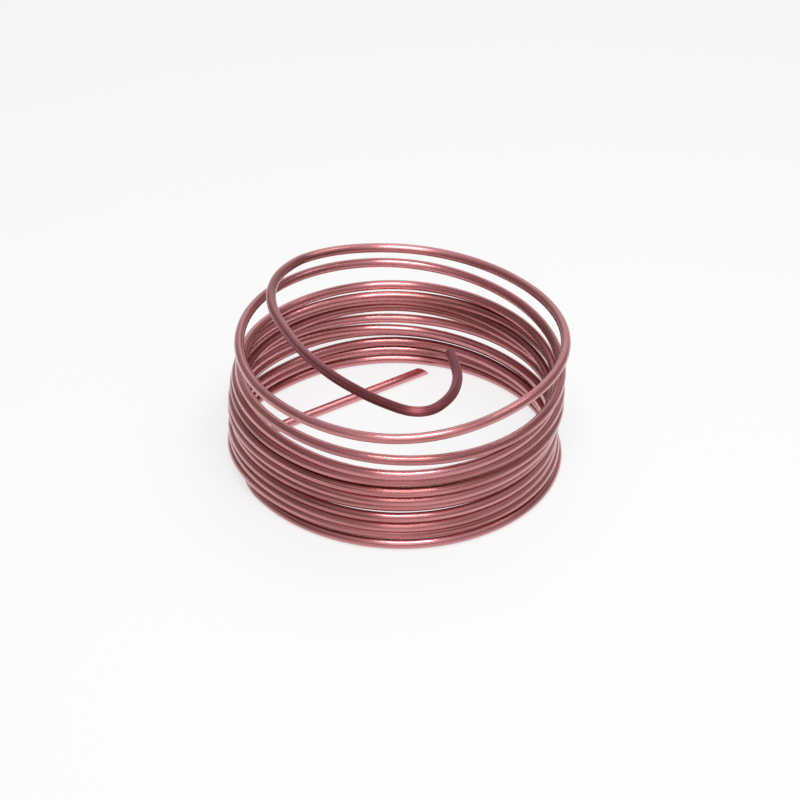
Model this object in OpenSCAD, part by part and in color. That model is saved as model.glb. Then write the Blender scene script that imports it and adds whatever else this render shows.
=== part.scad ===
// Coil of soft copper tube: one length wound as an open coil, both of its ends turned into the eye.
// Origin under the middle of the coil, on the floor; +Z up; the front of the coil faces -Y.

/* [Tube] */
// outside diameter of the tube
tube_od = 8; // [4:0.05:10]
// thickness of the tube's wall
tube_wall = 0.8; // [0.4:0.02:1.2]

/* [Coil] */
// diameter of a turn, from tube centre to tube centre
coil_d = 264; // [200:1:400]

/* [Lower end] */
// length of the straight stretch that ends the tube on the floor
straight_len = 142; // [100:1:160]
// radius of the bend from the straight stretch into the first turn
bend_r = 75; // [55:1:90]
// distance of the straight stretch from the coil's axis
straight_off = 77; // [65:1:90]
// direction in which the straight stretch runs towards the bend, seen from above
straight_dir = 216.4; // [205:0.2:230]
// slant of the cut that ends the straight stretch, away from square
cut_slant = 45; // [0:1:55]
// side that this cut faces, up from level, seen along the tube
cut_turn = 55; // [0:1:90]

/* [Smoothness] */
// rings of the tube in a quarter of a turn
quarter_rings = 7; // [5:1:8]
// pairs of sides around the tube's outside, and sides around its bore
bore_sides = 5; // [4:1:6]
// segments of the straight stretch, which is truly round
round_fn = 64; // [32:4:128]

/* [Hidden] */
tube_r = tube_od / 2;
bore_r = tube_r - tube_wall;
turn_r = coil_d / 2;
outer_sides = 2 * bore_sides;
// lap of the straight stretch in the swept tube
lap = tube_od / 4;
// place of the slanted cut on the tube's axis, and a block that cuts it
cut_run = tube_r * tan(cut_slant);
cut_block = 2 * tube_od / cos(cut_slant);
// polygons of the same area as the circles they stand for
outer_r = tube_r * sqrt(2 * PI / (outer_sides * sin(360 / outer_sides)));
inner_r = bore_r * sqrt(2 * PI / (bore_sides * sin(360 / bore_sides)));
// polygons that close around the straight stretch in its lap
lap_outer_share = 1.005;
lap_inner_share = 0.99;
lap_outer_r = tube_r * lap_outer_share / cos(180 / outer_sides);
lap_inner_r = bore_r * lap_inner_share;

// height of the tube over the first turn, in tube diameters: at the left of each turn and then at
// every eighth of it, by way of the front, the right and the back
rise_shares = [
  [0, 0, 0, 0, 0, 0, 0.02, 0.03],
  [0.9, 1.12, 1.02, 1.02, 1.02, 1.01, 1.06, 1.04],
  [1.95, 2.15, 2.08, 2.05, 2.06, 2.02, 2.09, 2.05],
  [2.98, 3.2, 3.2, 3.12, 3.17, 2.86, 3.11, 3.38],
  [4.0, 4.24, 4.14, 4.14, 4.27, 3.64, 3.85, 4.42],
  [5.05, 5.24, 5.15, 5.2, 5.29, 5.03, 5.03, 5.43],
  [6.1, 6.25, 6.2, 6.25, 6.34, 6.05, 6.37, 6.42],
  [6.85, 6.7, 6.7, 6.8, 7.08, 7.06, 7.37, 7.44],
  [7.75, 7.37, 7.25, 7.55, 8.0, 8.11, 8.29, 8.32],
  [8.85, 8.6, 8.3, 8.58, 8.98, 9.17, 9.19, 9.33],
  [9.95, 10.35, 10.0, 9.69, 10.05, 10.95, 11.9, 12.55],
  [12.85, 12.7, 12.45, 13.2, 13.4, 13.25, 13.7, 14.6],
  [15.0],
];
// how far the tube stands out of the turn's circle at the same places, in tube diameters
stand_shares = [
  [-0.35, -0.35, 0, 0, 0, -0.1, -0.2, -0.35],
  [0.25, -0.35, -0.3, -0.3, -0.3, -0.25, 0, -0.1],
  [0.1, -0.3, 0, -0.3, -0.6, -0.55, 0, -0.25],
  [0.15, -0.3, 0, -0.35, -0.5, 0.05, 0.45, 0.25],
  [-0.1, -0.45, -0.55, -0.6, -0.65, -0.65, -0.3, 0],
  [0.15, -0.3, 0, -0.2, -0.4, -0.1, 0, 0.05],
  [0.1, -0.3, 0, -0.1, -0.1, -0.3, 0.2, -0.25],
  [-0.75, -1.25, -1.15, -1.1, -0.95, -0.6, 0, -0.05],
  [-0.1, -0.45, -0.25, -0.15, -0.1, -0.45, -0.7, -0.55],
  [-0.3, -0.45, 0.1, -0.15, -0.6, -0.5, 0.05, -0.3],
  [-0.7, -0.35, 0, -0.05, -0.1, -0.05, 0, -0.33],
  [-0.65, -0.33, 0, -0.15, 0.2, 0.05, 0, -0.5],
  [-2.4],
];
// points of the upper end: right and back of the axis in turn radii, height in tube diameters
hook_shares = [
  [-0.73, 0.578, 14.75],
  [-0.78, 0.4, 14.75],
  [-0.775, 0.22, 14.68],
  [-0.72, 0.03, 14.58],
  [-0.575, -0.27, 14.45],
  [-0.39, -0.515, 14.28],
  [-0.21, -0.68, 14.12],
  [-0.06, -0.783, 14.02],
  [0.07, -0.844, 13.95],
  [0.175, -0.836, 13.9],
  [0.255, -0.77, 13.88],
  [0.325, -0.64, 13.84],
  [0.353, -0.475, 13.8],
  [0.335, -0.32, 13.8],
  [0.31, -0.21, 13.8],
];
// steps between two points of the upper end, and steps of the bend
hook_steps = 3;
bend_steps = 8;
// least first step after the bend, in rings
bend_share = 0.4;
// part of the last eighth of a turn after which the upper end leaves the coil
leave_share = 8 / 9;
// angles of a quarter and an eighth of a full turn, and of the coil's left
quarter = 360 / 4;
eighth = 360 / 8;
left_dir = 360 / 2;

// value between two of a row's four neighbours, smooth over the whole row
function between(a, b, c, d, f) =
  b + f * (c - a) / 2 + f * f * (a - 5 * b / 2 + 2 * c - d / 2) + f * f * f * (3 * b - a - 3 * c + d) / 2;
function along(row, s) =
  let (last = len(row) - 1, i = min(floor(s), last - 1))
  between(row[max(i - 1, 0)], row[i], row[i + 1], row[min(i + 2, last)], s - i);

rises = [for (turn = rise_shares) for (share = turn) tube_r + share * tube_od];
stands = [for (turn = stand_shares) for (share = turn) turn_r + share * tube_od];

// the bend touches the straight stretch and the first turn, which it joins at the coil's left front
join_r = stands[1];
run = [cos(straight_dir), sin(straight_dir)];
inward = [-run.y, run.x];
bend_run = sqrt(pow(join_r - bend_r, 2) - pow(bend_r - straight_off, 2));
bend_c = run * bend_run + inward * (bend_r - straight_off);
first_dir = atan2(bend_c.y, bend_c.x) + 360;
straight_end = bend_c - inward * bend_r;
tip = straight_end - run * straight_len;
function lift(p, h) = [p.x, p.y, h];

function turn_point(dir) =
  let (s = (dir - left_dir) / eighth, r = along(stands, s))
  [r * cos(dir), r * sin(dir), max(tube_r, along(rises, s))];
last_dir = left_dir + eighth * (len(rises) - 3 + leave_share);

lap_path = [for (k = [1, 0]) lift(straight_end - run * lap * k, tube_r)];
bend_path = [for (k = [1 : bend_steps - 1])
  let (start = straight_dir - quarter, dir = start + (first_dir - start) * k / bend_steps)
  lift(bend_c + bend_r * [cos(dir), sin(dir)], tube_r)];
ring_step = quarter / quarter_rings;
turn_start = ceil(first_dir / ring_step + bend_share);
turn_count = round(last_dir / ring_step) - turn_start;
turn_path = concat([turn_point(first_dir)],
  [for (k = [0 : turn_count]) turn_point((turn_start + k) * ring_step)]);
hook_points = concat(
  [turn_path[turn_count], turn_path[turn_count + 1]],
  [for (share = hook_shares) [share.x * turn_r, share.y * turn_r, tube_r + share.z * tube_od]]);
hook_path = [for (i = [1 : len(hook_points) - 2]) for (k = [1 : hook_steps])
  between(hook_points[i - 1], hook_points[i], hook_points[i + 1],
    hook_points[min(i + 2, len(hook_points) - 1)], k / hook_steps)];
laid_path = concat(lap_path, bend_path, turn_path, hook_path);
// the coil's middle comes over the origin
xs = [for (p = laid_path) p.x];
ys = [for (p = laid_path) p.y];
middle = [(min(xs) + max(xs)) / 2, (min(ys) + max(ys)) / 2, 0];
path = [for (p = laid_path) p - middle];

function unit(v) = v / norm(v);
function heading(i) = unit(path[min(i + 1, len(path) - 1)] - path[max(i - 1, 0)]);
function ring(i, r, sides) =
  let (side = unit(cross(heading(i), [0, 0, 1])), top = cross(side, heading(i)))
  [for (k = [0 : sides - 1]) path[i] + r * (side * cos(360 * k / sides) + top * sin(360 * k / sides))];

module swept_tube() {
  n = outer_sides;
  m = bore_sides;
  rings = len(path);
  outer = [for (i = [0 : rings - 1]) each ring(i, i < len(lap_path) ? lap_outer_r : outer_r, n)];
  inner = [for (i = [0 : rings - 1]) each ring(i, i < len(lap_path) ? lap_inner_r : inner_r, m)];
  base = rings * n;
  skin = [for (i = [0 : rings - 2]) for (k = [0 : n - 1])
    let (a = i * n + k, b = i * n + (k + 1) % n)
    each [[a, b, b + n], [a, b + n, a + n]]];
  lining = [for (i = [0 : rings - 2]) for (k = [0 : m - 1])
    let (a = base + i * m + k, b = base + i * m + (k + 1) % m)
    each [[a, b + m, b], [a, a + m, b + m]]];
  cut_near = [for (k = [0 : m - 1])
    let (a = 2 * k, b = 2 * k + 1, c = (2 * k + 2) % n, p = base + k, q = base + (k + 1) % m)
    each [[a, p, b], [b, p, q], [b, q, c]]];
  cut_far = [for (f = cut_near)
    [for (j = [2 : -1 : 0]) f[j] + (f[j] < base ? (rings - 1) * n : (rings - 1) * m)]];
  polyhedron(concat(outer, inner), concat(skin, lining, cut_near, cut_far));
}

module straight_tube() {
  translate(lift(tip, tube_r) - middle)
    rotate([0, 90, straight_dir])
      difference() {
        translate([0, 0, -lap])
          cylinder(r = tube_r, h = straight_len + lap / 2, $fn = round_fn);
        translate([0, 0, -lap * 2])
          cylinder(r = bore_r, h = straight_len + lap * 4, $fn = round_fn);
        translate([0, 0, cut_run])
          rotate([cut_slant, 0, cut_turn])
            translate([0, 0, -cut_block / 2])
              cube(cut_block, center = true);
      }
}

module copper_tube() {
  color([0.72, 0.43, 0.36]) {
    swept_tube();
    straight_tube();
  }
}

copper_tube();
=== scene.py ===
"""Looks of the copper tube coil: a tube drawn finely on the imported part's route, in a pale studio."""
import math

import bpy
import numpy as np
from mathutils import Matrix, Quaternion, Vector


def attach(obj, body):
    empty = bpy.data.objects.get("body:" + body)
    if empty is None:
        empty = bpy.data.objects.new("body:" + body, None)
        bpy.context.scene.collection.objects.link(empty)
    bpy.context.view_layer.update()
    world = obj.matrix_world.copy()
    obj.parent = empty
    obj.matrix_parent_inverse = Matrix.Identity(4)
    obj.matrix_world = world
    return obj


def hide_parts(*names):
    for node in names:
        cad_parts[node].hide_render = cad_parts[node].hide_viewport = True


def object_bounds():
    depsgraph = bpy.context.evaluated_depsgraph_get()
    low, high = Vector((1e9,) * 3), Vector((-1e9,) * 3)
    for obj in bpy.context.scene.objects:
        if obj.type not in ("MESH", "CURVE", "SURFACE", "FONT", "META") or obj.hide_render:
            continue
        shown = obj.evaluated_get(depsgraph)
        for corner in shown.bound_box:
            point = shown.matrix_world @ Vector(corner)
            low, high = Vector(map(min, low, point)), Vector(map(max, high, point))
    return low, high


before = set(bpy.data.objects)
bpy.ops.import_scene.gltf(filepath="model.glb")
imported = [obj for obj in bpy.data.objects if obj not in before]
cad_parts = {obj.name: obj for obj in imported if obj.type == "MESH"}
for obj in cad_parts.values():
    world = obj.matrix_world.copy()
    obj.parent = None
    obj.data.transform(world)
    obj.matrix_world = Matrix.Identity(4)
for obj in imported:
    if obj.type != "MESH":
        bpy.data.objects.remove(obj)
cad_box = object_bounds()

# Sizes of the tube and its coil, in metres, as in the part's source
TUBE_OD = 0.008
TUBE_WALL = 0.0008
COIL_D = 0.264
STRAIGHT_LEN = 0.142
BEND_R = 0.075
STRAIGHT_OFF = 0.077
STRAIGHT_DIR = 216.4
CUT_SLANT = 45
CUT_TURN = 55
TUBE_R = TUBE_OD / 2
BORE_R = TUBE_R - TUBE_WALL
TURN_R = COIL_D / 2

# Height over the first turn, in tube diameters: at the left of each turn and then at every eighth
# of it, by way of the front, the right and the back
RISE_SHARES = [
    [0, 0, 0, 0, 0, 0, 0.02, 0.03],
    [0.9, 1.12, 1.02, 1.02, 1.02, 1.01, 1.06, 1.04],
    [1.95, 2.15, 2.08, 2.05, 2.06, 2.02, 2.09, 2.05],
    [2.98, 3.2, 3.2, 3.12, 3.17, 2.86, 3.11, 3.38],
    [4.0, 4.24, 4.14, 4.14, 4.27, 3.64, 3.85, 4.42],
    [5.05, 5.24, 5.15, 5.2, 5.29, 5.03, 5.03, 5.43],
    [6.1, 6.25, 6.2, 6.25, 6.34, 6.05, 6.37, 6.42],
    [6.85, 6.7, 6.7, 6.8, 7.08, 7.06, 7.37, 7.44],
    [7.75, 7.37, 7.25, 7.55, 8.0, 8.11, 8.29, 8.32],
    [8.85, 8.6, 8.3, 8.58, 8.98, 9.17, 9.19, 9.33],
    [9.95, 10.35, 10.0, 9.69, 10.05, 10.95, 11.9, 12.55],
    [12.85, 12.7, 12.45, 13.2, 13.4, 13.25, 13.7, 14.6],
    [15.0],
]
# How far the tube stands out of the turn's circle at the same places, in tube diameters
STAND_SHARES = [
    [-0.35, -0.35, 0, 0, 0, -0.1, -0.2, -0.35],
    [0.25, -0.35, -0.3, -0.3, -0.3, -0.25, 0, -0.1],
    [0.1, -0.3, 0, -0.3, -0.6, -0.55, 0, -0.25],
    [0.15, -0.3, 0, -0.35, -0.5, 0.05, 0.45, 0.25],
    [-0.1, -0.45, -0.55, -0.6, -0.65, -0.65, -0.3, 0],
    [0.15, -0.3, 0, -0.2, -0.4, -0.1, 0, 0.05],
    [0.1, -0.3, 0, -0.1, -0.1, -0.3, 0.2, -0.25],
    [-0.75, -1.25, -1.15, -1.1, -0.95, -0.6, 0, -0.05],
    [-0.1, -0.45, -0.25, -0.15, -0.1, -0.45, -0.7, -0.55],
    [-0.3, -0.45, 0.1, -0.15, -0.6, -0.5, 0.05, -0.3],
    [-0.7, -0.35, 0, -0.05, -0.1, -0.05, 0, -0.33],
    [-0.65, -0.33, 0, -0.15, 0.2, 0.05, 0, -0.5],
    [-2.4],
]
# Points of the upper end: right and back of the axis in turn radii, height in tube diameters
HOOK_SHARES = [
    [-0.73, 0.578, 14.75],
    [-0.78, 0.4, 14.75],
    [-0.775, 0.22, 14.68],
    [-0.72, 0.03, 14.58],
    [-0.575, -0.27, 14.45],
    [-0.39, -0.515, 14.28],
    [-0.21, -0.68, 14.12],
    [-0.06, -0.783, 14.02],
    [0.07, -0.844, 13.95],
    [0.175, -0.836, 13.9],
    [0.255, -0.77, 13.88],
    [0.325, -0.64, 13.84],
    [0.353, -0.475, 13.8],
    [0.335, -0.32, 13.8],
    [0.31, -0.21, 13.8],
]
# Part of the last eighth of a turn after which the upper end leaves the coil
LEAVE_SHARE = 8 / 9
# Angles of a quarter and an eighth of a turn and of the coil's left, and the source's step in a turn
QUARTER = 90
EIGHTH = 45
LEFT_DIR = 180
SOURCE_STEP = QUARTER / 7

# Fineness of the drawn tube
SIDES = 24
TURN_STEP = 3.75
BEND_STEPS = 28
STRAIGHT_STEPS = 24
HOOK_STEPS = 8
# Rounding of the cut edges, and the angle from which an edge is drawn sharp
EDGE = 0.00012
SHARP_ANGLE = 50
# Lengths along the tube between which it grows darker and rougher towards its hooked end
HOOK_FADE = (9.9, 10.1)
# Lengths between which the lighter straight end passes into the darker coil
END_FADE = (0.1, 0.3)
# Strips of the unrolled skin, the bore's share of their width, and the margin in each
UNROLLED = "OFBake"
STRIPS = 20
BORE_SHARE = 0.1
STRIP_EDGE = 0.03


def between(a, b, c, d, f):
    """Value between b and c at share f, smooth over all four."""
    bow = a - 5 * b / 2 + 2 * c - d / 2
    twist = (3 * b - a - 3 * c + d) / 2
    return b + f * (c - a) / 2 + f**2 * bow + f**3 * twist


def along(row, s):
    last = len(row) - 1
    i = min(math.floor(s), last - 1)
    return between(row[max(i - 1, 0)], row[i], row[i + 1], row[min(i + 2, last)], s - i)


def round_point(direction, radius, height):
    a = math.radians(direction)
    return np.array([radius * math.cos(a), radius * math.sin(a), height])


def tube_route():
    """Points of the tube's middle line, from the straight lower end to the tip of the hook."""
    rises = [TUBE_R + share * TUBE_OD for turn in RISE_SHARES for share in turn]
    stands = [TURN_R + share * TUBE_OD for turn in STAND_SHARES for share in turn]

    def turn_point(direction):
        s = (direction - LEFT_DIR) / EIGHTH
        return round_point(direction, along(stands, s), max(TUBE_R, along(rises, s)))

    run = round_point(STRAIGHT_DIR, 1, 0)
    inward = np.array([-run[1], run[0], 0])
    bend_run = math.sqrt((stands[1] - BEND_R) ** 2 - (BEND_R - STRAIGHT_OFF) ** 2)
    bend_c = run * bend_run + inward * (BEND_R - STRAIGHT_OFF)
    first_dir = math.degrees(math.atan2(bend_c[1], bend_c[0])) + 360
    bend_c[2] = TUBE_R
    straight_end = bend_c - inward * BEND_R
    last_dir = LEFT_DIR + EIGHTH * (len(rises) - 3 + LEAVE_SHARE)
    last_dir = SOURCE_STEP * round(last_dir / SOURCE_STEP)

    straight = [straight_end - run * STRAIGHT_LEN * (1 - k / STRAIGHT_STEPS)
                for k in range(STRAIGHT_STEPS)]
    bend_dirs = np.linspace(STRAIGHT_DIR - QUARTER, first_dir, BEND_STEPS + 1)[:-1]
    bend = [bend_c + round_point(d, BEND_R, 0) for d in bend_dirs]
    turn_steps = round((last_dir - first_dir) / TURN_STEP)
    turns = [turn_point(d) for d in np.linspace(first_dir, last_dir, turn_steps + 1)]
    knots = [turn_point(last_dir - SOURCE_STEP), turns[-1]]
    knots += [np.array([x * TURN_R, y * TURN_R, TUBE_R + z * TUBE_OD])
              for x, y, z in HOOK_SHARES]
    last = len(knots) - 1
    hook = [between(knots[i - 1], knots[i], knots[i + 1], knots[min(i + 2, last)], k / HOOK_STEPS)
            for i in range(1, last) for k in range(1, HOOK_STEPS + 1)]
    route = np.array(straight + bend + turns + hook)
    middle = (route.min(0) + route.max(0)) / 2
    middle[2] = 0
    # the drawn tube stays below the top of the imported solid, whose rings are coarser
    route[:, 2] = np.minimum(route[:, 2], cad_box[1][2] - TUBE_R)
    return route - middle


def unrolled(rings):
    """Place of each corner on the flat skin: U around the tube, V along it, in strips side by side."""
    step = np.linalg.norm(np.roll(rings, -1, 0) - rings, axis=2).mean(1)
    start = np.concatenate([[0], np.cumsum(step)]) * 2 * STRIPS / step.sum()
    # the second half of the rings is the bore, which gets a narrow share of the width
    strip = np.floor((start[:-1] + start[1:]) / 2).astype(int)
    bore = strip >= STRIPS
    width = np.where(bore, BORE_SHARE, 1 - BORE_SHARE) / STRIPS
    left = np.where(bore, 1 - BORE_SHARE, 0) + width * (strip % STRIPS)
    k = np.arange(SIDES)
    around = np.stack([k, k + 1, k + 1, k], 1) / SIDES * (1 - 2 * STRIP_EDGE) + STRIP_EDGE
    ends = np.stack([start[:-1], start[:-1], start[1:], start[1:]], 1) - strip[:, None]
    u = left[:, None, None] + width[:, None, None] * around
    v = np.broadcast_to((ends * (1 - 2 * STRIP_EDGE) + STRIP_EDGE)[:, None], u.shape)
    return np.stack([u, v], 3)


def copper_tube_mesh(route):
    """One closed skin: outside, upper cut, bore, lower cut. Each point keeps its place on the tube."""
    heading = np.gradient(route, axis=0)
    heading /= np.linalg.norm(heading, axis=1, keepdims=True)
    side = np.cross(heading, [0, 0, 1])
    side /= np.linalg.norm(side, axis=1, keepdims=True)
    top = np.cross(side, heading)
    steps = np.linalg.norm(np.diff(route, axis=0), axis=1)
    length_at = np.concatenate([[0], np.cumsum(steps)])
    turn = np.radians(np.arange(SIDES) * 360 / SIDES)
    # the slanted cut faces this way around the tube
    facing = np.cos(turn - math.radians(CUT_TURN))
    slant = math.tan(math.radians(CUT_SLANT))

    def ring(i, radius, shift=0.0):
        spoke = np.cos(turn)[:, None] * side[i] + np.sin(turn)[:, None] * top[i]
        moved = np.multiply.outer(np.broadcast_to(shift, SIDES), heading[i])
        return route[i] + radius * spoke + moved

    def cut(radius, inset):
        """Lower cut: its plane meets the outside at the tip and twice the slant's run further on."""
        return (TUBE_R + radius * facing) * slant + inset

    last = len(route) - 1
    # rings that the slanted cut would cross are left out
    first = int(np.argmax(length_at > 2 * TUBE_R * slant + EDGE))
    rings = [(0, TUBE_R - EDGE, cut(TUBE_R - EDGE, 0)), (0, TUBE_R, cut(TUBE_R, EDGE))]
    rings += [(i, TUBE_R, 0.0) for i in range(first, last)]
    rings += [(last, TUBE_R, -EDGE), (last, TUBE_R - EDGE, 0.0)]
    rings += [(last, BORE_R + EDGE, 0.0), (last, BORE_R, -EDGE)]
    rings += [(i, BORE_R, 0.0) for i in range(last - 1, first - 1, -1)]
    rings += [(0, BORE_R, cut(BORE_R, EDGE)), (0, BORE_R + EDGE, cut(BORE_R + EDGE, 0))]

    points = np.concatenate([ring(*r) for r in rings])
    place = np.concatenate([
        np.stack([np.broadcast_to(length_at[i] + shift, SIDES), np.cos(turn), np.sin(turn)], 1)
        for i, _, shift in rings])
    count = len(rings)
    k = np.arange(SIDES)
    a = (np.arange(count) * SIDES)[:, None] + k
    b = (np.arange(count) * SIDES)[:, None] + (k + 1) % SIDES
    quads = np.stack([a, b, np.roll(b, -1, 0), np.roll(a, -1, 0)], 2).reshape(-1, 4)

    mesh = bpy.data.meshes.new("copper_tube_drawn")
    mesh.from_pydata(points.tolist(), [], quads.tolist())
    placed = mesh.attributes.new("tube_place", "FLOAT_VECTOR", "POINT")
    placed.data.foreach_set("vector", place.ravel())
    flat = unrolled(points.reshape(count, SIDES, 3))
    mesh.uv_layers.new(name=UNROLLED).data.foreach_set("uv", flat.ravel())
    mesh.shade_smooth()
    mesh.set_sharp_from_angle(angle=math.radians(SHARP_ANGLE))
    mesh.validate()
    return mesh


class Nodes:
    """Small helper that adds nodes to a tree and links them."""

    def __init__(self, tree):
        self.tree = tree
        tree.nodes.clear()

    def add(self, kind, links=None, **values):
        node = self.tree.nodes.new(kind)
        for name, value in values.items():
            setattr(node, name, value)
        for socket, source in (links or {}).items():
            if isinstance(source, bpy.types.NodeSocket):
                self.tree.links.new(source, node.inputs[socket])
            else:
                node.inputs[socket].default_value = source
        return node

    def ramp(self, source, stops):
        node = self.add("ShaderNodeValToRGB", {"Fac": source})
        elements = node.color_ramp.elements
        while len(elements) < len(stops):
            elements.new(0.5)
        for element, (place, colour) in zip(elements, stops):
            element.position = place
            element.color = (*colour, 1)
        return node.outputs["Color"]


def grey(value):
    return (value, value, value)


# Copper: from brown tarnish over clean metal to mauve, the draw lines, the coil darker than the straight
# end, and the darker hook
TARNISH = [(0.34, (0.44, 0.125, 0.115)), (0.5, (0.75, 0.27, 0.27)), (0.66, (0.8, 0.325, 0.355))]
STREAKS = [(0.36, (0.56, 0.44, 0.46)), (0.54, grey(1.0))]
COIL_DARKENING = [(0.0, grey(1.0)), (1.0, grey(0.87))]
HOOK_DARKENING = [(0.0, grey(1.0)), (1.0, (0.62, 0.53, 0.59))]
# Share of the streaks on the lighter straight end, range of roughness, what the hook adds to it, and the
# coats
END_STREAKS = 0.15
ROUGH = (0.22, 0.32)
HOOK_ROUGH = 0.2
COAT, HOOK_COAT = 1.0, 0.1
COAT_ROUGH = 0.12
ANISOTROPY = 0.9
BUMP_STRENGTH = 0.02
BUMP_DISTANCE = 0.0001


def copper_material():
    """Bare drawn copper: rose metal with tarnish, draw lines along the tube, a darker, rougher hooked
    end.
    """
    material = bpy.data.materials.new("bare_copper")
    material.use_nodes = True
    n = Nodes(material.node_tree)
    place = n.add("ShaderNodeAttribute", attribute_name="tube_place").outputs["Vector"]

    def noise(stretch, scale, detail, roughness=0.5):
        mapped = n.add("ShaderNodeMapping", {"Vector": place, "Scale": stretch}).outputs["Vector"]
        links = {"Vector": mapped, "Scale": scale, "Detail": detail, "Roughness": roughness}
        return n.add("ShaderNodeTexNoise", links).outputs["Fac"]

    def spread(value, low, high, to_low, to_high):
        links = {"Value": value, "From Min": low, "From Max": high,
                 "To Min": to_low, "To Max": to_high}
        return n.add("ShaderNodeMapRange", links).outputs["Result"]

    def times(a, b, factor=1.0):
        links = {"Factor": factor, "A": a, "B": b}
        return n.add("ShaderNodeMix", links, data_type="RGBA", blend_type="MULTIPLY").outputs["Result"]

    lines = noise((0.5, 1, 1), 6.0, 3.0)
    tarnish = noise((6.0, 0.5, 0.5), 1.3, 4.0, 0.6)
    smudge = noise((40.0, 1, 1), 1.6, 3.0)
    length = n.add("ShaderNodeSeparateXYZ", {0: place}).outputs["X"]
    colour = n.ramp(tarnish, TARNISH)
    # the straight end gets fewer streaks and a lighter colour than the coil
    streaked = spread(length, *END_FADE, END_STREAKS, 1.0)
    colour = times(colour, n.ramp(lines, STREAKS), streaked)
    colour = times(colour, n.ramp(spread(length, *END_FADE, 0.0, 1.0), COIL_DARKENING))
    # darker and more saturated colour towards the hooked end
    colour = times(colour, n.ramp(spread(length, *HOOK_FADE, 0.0, 1.0), HOOK_DARKENING))
    rough = n.add("ShaderNodeMath", {
        0: spread(smudge, 0.3, 0.7, *ROUGH),
        1: spread(length, *HOOK_FADE, 0.0, HOOK_ROUGH)}, operation="ADD")
    # the draw lines spread light around the tube
    around = n.add("ShaderNodeTangent", direction_type="UV_MAP", uv_map=UNROLLED)
    bump = n.add("ShaderNodeBump", {
        "Height": lines, "Strength": BUMP_STRENGTH, "Distance": BUMP_DISTANCE})
    shader = n.add("ShaderNodeBsdfPrincipled", {
        "Base Color": colour, "Metallic": 1.0, "Roughness": rough.outputs[0],
        "Normal": bump.outputs["Normal"],
        "Anisotropic": ANISOTROPY, "Tangent": around.outputs["Tangent"],
        "Coat Weight": spread(length, *HOOK_FADE, COAT, HOOK_COAT), "Coat Roughness": COAT_ROUGH})
    n.add("ShaderNodeOutputMaterial", {"Surface": shader.outputs["BSDF"]})
    return material


def make_tube():
    mesh = copper_tube_mesh(tube_route())
    tube = bpy.data.objects.new("copper_tube_drawn", mesh)
    bpy.context.collection.objects.link(tube)
    mesh.materials.append(copper_material())
    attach(tube, "root")
    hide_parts("copper_tube")


# Studio: floor, and the distance of the lamps
LAMP_DISTANCE = 1.3
FLOOR_SIZE = 14.0
FLOOR_COLOUR = 0.9
FLOOR_GLOW = 0.72


def make_floor():
    """Pale floor. For the camera and for reflections part of it glows white, so its shadows stay soft."""
    half = FLOOR_SIZE / 2
    mesh = bpy.data.meshes.new("floor")
    corners = [(-half, -half, 0), (half, -half, 0), (half, half, 0), (-half, half, 0)]
    mesh.from_pydata(corners, [], [(0, 1, 2, 3)])
    floor = bpy.data.objects.new("floor", mesh)
    bpy.context.collection.objects.link(floor)
    material = bpy.data.materials.new("pale_floor")
    material.use_nodes = True
    n = Nodes(material.node_tree)
    path = n.add("ShaderNodeLightPath").outputs
    seen = path["Is Camera Ray"]
    for ray in ("Is Glossy Ray", "Is Transmission Ray"):
        seen = n.add("ShaderNodeMath", {0: seen, 1: path[ray]}, operation="MAXIMUM").outputs[0]
    share = n.add("ShaderNodeMath", {0: seen, 1: FLOOR_GLOW}, operation="MULTIPLY")
    matt = n.add("ShaderNodeBsdfDiffuse", {"Color": (*grey(FLOOR_COLOUR), 1)})
    glow = n.add("ShaderNodeEmission", {"Color": (1, 1, 1, 1), "Strength": 1.0})
    mixed = n.add("ShaderNodeMixShader", {0: share.outputs[0], 1: matt.outputs[0], 2: glow.outputs[0]})
    n.add("ShaderNodeOutputMaterial", {"Surface": mixed.outputs[0]})
    mesh.materials.append(material)


def make_world():
    """Studio dome: a bright arch from the front over the top to the back, and dim sides."""
    world = bpy.data.worlds.new("studio")
    bpy.context.scene.world = world
    world.use_nodes = True
    n = Nodes(world.node_tree)
    direction = n.add("ShaderNodeTexCoord").outputs["Generated"]
    toward = n.add("ShaderNodeSeparateXYZ", {0: direction}).outputs

    def share(value, reach):
        links = {"Value": value, "From Min": -reach, "From Max": reach}
        return n.add("ShaderNodeMapRange", links).outputs["Result"]

    across = share(toward["X"], 1.0)
    behind = share(toward["Y"], 0.5)
    front = n.ramp(across, [
        (0.0, grey(0.26)), (0.15, grey(0.32)), (0.33, grey(0.62)), (0.5, (1.15, 1.13, 1.15)),
        (0.68, (0.9, 0.9, 0.94)), (0.85, grey(0.6)), (1.0, grey(0.42))])
    low = n.ramp(toward["Z"], [(0.0, grey(0.24)), (0.15, grey(0.34)), (0.5, grey(1.0))])
    links = {"Factor": 1.0, "A": front, "B": low}
    front = n.add("ShaderNodeMix", links, data_type="RGBA", blend_type="MULTIPLY").outputs["Result"]
    back = n.ramp(across, [
        (0.0, grey(0.26)), (0.15, grey(0.26)), (0.33, grey(0.56)), (0.5, (0.96, 0.98, 1.0)),
        (0.68, grey(0.7)), (0.85, grey(0.34)), (1.0, grey(0.32))])
    light = n.add("ShaderNodeMix", {"Factor": behind, "A": front, "B": back}, data_type="RGBA")
    dome = n.add("ShaderNodeBackground", {"Color": light.outputs["Result"], "Strength": 1.0})
    n.add("ShaderNodeOutputWorld", {"Surface": dome.outputs[0]})


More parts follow.
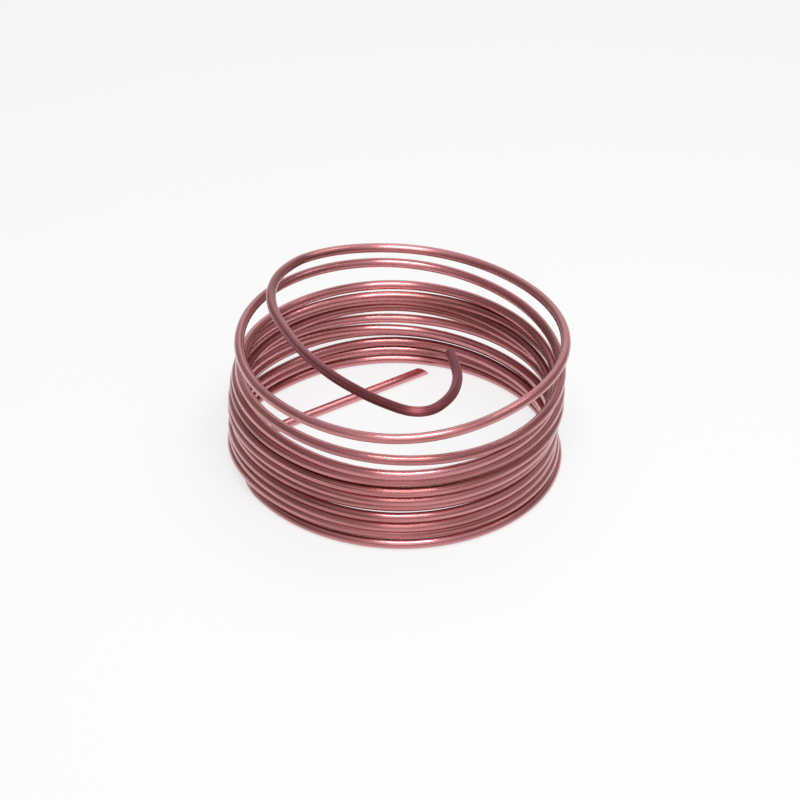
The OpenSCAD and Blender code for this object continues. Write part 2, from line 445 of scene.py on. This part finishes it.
def aim(thing, target, roll=0.0):
    look = (target - thing.location).to_track_quat("-Z", "Y")
    thing.rotation_mode = "QUATERNION"
    thing.rotation_quaternion = look @ Quaternion((0, 0, 1), math.radians(roll))


def from_target(target, azimuth, elevation, distance):
    """A place seen from the target at this azimuth, right of the front, and elevation."""
    a, e = math.radians(azimuth), math.radians(elevation)
    way = Vector((math.sin(a) * math.cos(e), -math.cos(a) * math.cos(e), math.sin(e)))
    return target + distance * way


# The photograph's camera: it looks along +Y, down on the coil, and is rolled a little
TARGET = Vector((0.0002, -0.0014, 0.052))
CAMERA_ELEVATION = 34.2
CAMERA_DISTANCE = 2.046
CAMERA_ROLL = 1.2
IMAGE_SIZE = 800
FOCAL_PIXELS = 2526
TARGET_PIXEL = (397, 397.4)
SENSOR = 36.0


def make_camera():
    data = bpy.data.cameras.new("photo_camera")
    camera = bpy.data.objects.new("photo_camera", data)
    bpy.context.collection.objects.link(camera)
    camera.location = from_target(TARGET, 0, CAMERA_ELEVATION, CAMERA_DISTANCE)
    aim(camera, TARGET, CAMERA_ROLL)
    data.sensor_width = SENSOR
    data.lens = SENSOR * FOCAL_PIXELS / IMAGE_SIZE
    data.shift_x = (IMAGE_SIZE / 2 - TARGET_PIXEL[0]) / IMAGE_SIZE
    data.shift_y = (TARGET_PIXEL[1] - IMAGE_SIZE / 2) / IMAGE_SIZE
    bpy.context.scene.camera = camera


def make_softbox(name, azimuth, elevation, width, height, watts):
    data = bpy.data.lights.new(name, "AREA")
    data.shape = "RECTANGLE"
    data.size, data.size_y = width, height
    data.energy = watts
    light = bpy.data.objects.new(name, data)
    bpy.context.collection.objects.link(light)
    light.location = from_target(TARGET, azimuth, elevation, LAMP_DISTANCE)
    aim(light, TARGET)


make_camera()
make_tube()
make_floor()
make_world()
make_softbox("key_softbox", azimuth=13, elevation=71, width=0.5, height=0.42, watts=7.2)
make_softbox("kicker", azimuth=118, elevation=60, width=0.35, height=0.35, watts=1.0)
bpy.context.scene.view_settings.view_transform = "Standard"
